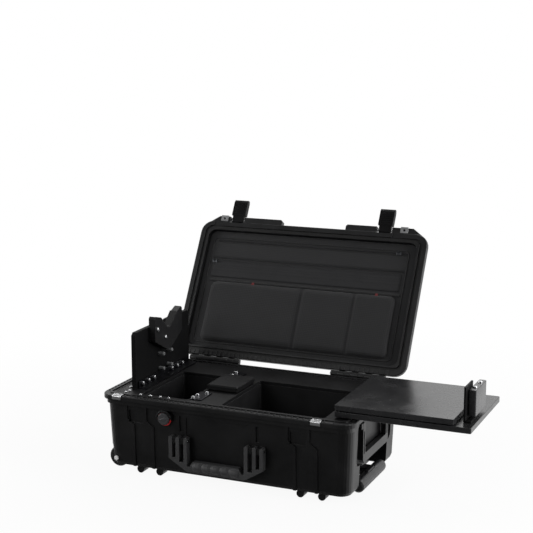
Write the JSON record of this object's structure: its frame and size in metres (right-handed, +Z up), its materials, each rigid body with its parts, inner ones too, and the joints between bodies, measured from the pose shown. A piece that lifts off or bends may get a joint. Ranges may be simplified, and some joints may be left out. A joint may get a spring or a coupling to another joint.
{
  "type": "guitar case",
  "caption": "Wheeled hard case, open, with lid organizer, pull-out trolley handle, fitted deck with bins, upright neck cradle and a sliding body support with an end stop",
  "frame": {"origin": "on the floor under the middle of the base, on the foot between the skids", "axes": "+X along the case towards the sliding support, +Y towards the hinge, +Z up"},
  "size_m": [0.7645, 0.5371, 0.4998],
  "materials": {
    "shell_plastic": "black moulded polypropylene with a fine grain",
    "moulded_rubber": "black moulded rubber",
    "nylon": "black glass-filled nylon",
    "stainless": "bright stainless steel",
    "black_aluminium": "black anodised",
    "deck_sheet": "black rigid sheet",
    "support_board": "dark satin board",
    "lining_fabric": "black woven lining",
    "red_seal": "red silicone",
    "tyre": "black polyurethane"
  },
  "bodies": {
    "case": {"base_shell": "shell_plastic", "bin_left": "shell_plastic", "bin_right": "shell_plastic", "neck_cradle": "shell_plastic", "cradle_pad": "moulded_rubber", "divider_block": "nylon", "peg_low_front": "nylon", "peg_low_back": "nylon", "peg_high_front": "nylon", "peg_high_back": "nylon", "base_plate_left": "stainless", "base_plate_right": "stainless", "hinge_pin_left": "stainless", "hinge_pin_right": "stainless", "front_handle_pin_left": "stainless", "front_handle_pin_right": "stainless", "side_handle_pin_front": "stainless", "side_handle_pin_back": "stainless", "wheel_axle_front": "stainless", "wheel_axle_back": "stainless", "cradle_screw_upper": "stainless", "cradle_screw_lower": "stainless", "bracket_front": "black_aluminium", "bracket_back": "black_aluminium", "tower_angle": "black_aluminium", "guide_front": "black_aluminium", "guide_back": "black_aluminium", "deck_frame": "deck_sheet", "tower_plate": "deck_sheet", "valve_ring": "red_seal"},
    "valve": {"valve_body": "nylon"},
    "front_handle": {"front_handle": "moulded_rubber"},
    "side_handle": {"side_handle": "moulded_rubber"},
    "trolley": {"trolley_grip": "nylon", "trolley_tube_front": "black_aluminium", "trolley_tube_back": "black_aluminium"},
    "trolley_button": {"trolley_button": "nylon"},
    "wheel_front": {"wheel_tyre_front": "tyre", "wheel_hub_front": "nylon"},
    "wheel_back": {"wheel_tyre_back": "tyre", "wheel_hub_back": "nylon"},
    "support": {"platform_lower": "support_board", "platform_upper": "support_board", "stop_plate": "deck_sheet", "stop_block": "support_board", "stop_screw_front": "stainless", "stop_screw_back": "stainless"},
    "lid": {"lid_shell": "shell_plastic", "lid_gasket": "moulded_rubber", "lid_plate_left": "stainless", "lid_plate_right": "stainless", "latch_pin_left": "stainless", "latch_pin_right": "stainless", "organizer_panel": "lining_fabric", "organizer_pouch": "lining_fabric"},
    "latch_left": {"latch_left": "nylon"},
    "latch_right": {"latch_right": "nylon"},
    "pull_left": {"zip_pull_left": "stainless"},
    "pull_right": {"zip_pull_right": "stainless"}
  },
  "joints": [
    {"name": "lid_hinge", "type": "hinge", "parent": "case", "child": "lid", "pos_m": [0, 0.168, 0.168], "axis": [1, 0, 0], "range_deg": [0, 38]},
    {"name": "latch_left_swing", "type": "hinge", "parent": "lid", "child": "latch_left", "pos_m": [-0.189, 0.34162, 0.4558], "axis": [1, 0, 0], "range_deg": [0, 90]},
    {"name": "latch_right_swing", "type": "hinge", "parent": "lid", "child": "latch_right", "pos_m": [0.1675, 0.34162, 0.4558], "axis": [1, 0, 0], "range_deg": [0, 90]},
    {"name": "zip_left_slide", "type": "slide", "parent": "lid", "child": "pull_left", "axis": [1, 0, 0], "range_m": [0, 0.43]},
    {"name": "zip_right_slide", "type": "slide", "parent": "lid", "child": "pull_right", "axis": [-1, 0, 0], "range_m": [0, 0.4]},
    {"name": "valve_turn", "type": "hinge", "parent": "case", "child": "valve", "pos_m": [-0.127, -0.1511, 0.1295], "axis": [0, 1, 0], "range_deg": [0, 180]},
    {"name": "front_handle_swing", "type": "hinge", "parent": "case", "child": "front_handle", "pos_m": [-0.01, -0.158, 0.09], "axis": [-1, 0, 0], "range_deg": [0, 95]},
    {"name": "side_handle_swing", "type": "hinge", "parent": "case", "child": "side_handle", "pos_m": [0.262, 0, 0.142], "axis": [0, -1, 0], "range_deg": [0, 90]},
    {"name": "trolley_slide", "type": "slide", "parent": "case", "child": "trolley", "axis": [1, 0, 0], "range_m": [0, 0.36]},
    {"name": "trolley_button_press", "type": "slide", "parent": "trolley", "child": "trolley_button", "axis": [0, 0, -1], "range_m": [0, 0.002], "stiffness_N_per_m": 300, "springref_m": -0.0005},
    {"name": "wheel_front_spin", "type": "hinge", "parent": "case", "child": "wheel_front", "pos_m": [-0.244, -0.126, 0.0285], "axis": [0, 1, 0], "continuous": true},
    {"name": "wheel_back_spin", "type": "hinge", "parent": "case", "child": "wheel_back", "pos_m": [-0.244, 0.126, 0.0285], "axis": [0, 1, 0], "continuous": true},
    {"name": "support_slide", "type": "slide", "parent": "case", "child": "support", "axis": [-1, 0, 0], "range_m": [0, 0.2]}
  ]
}
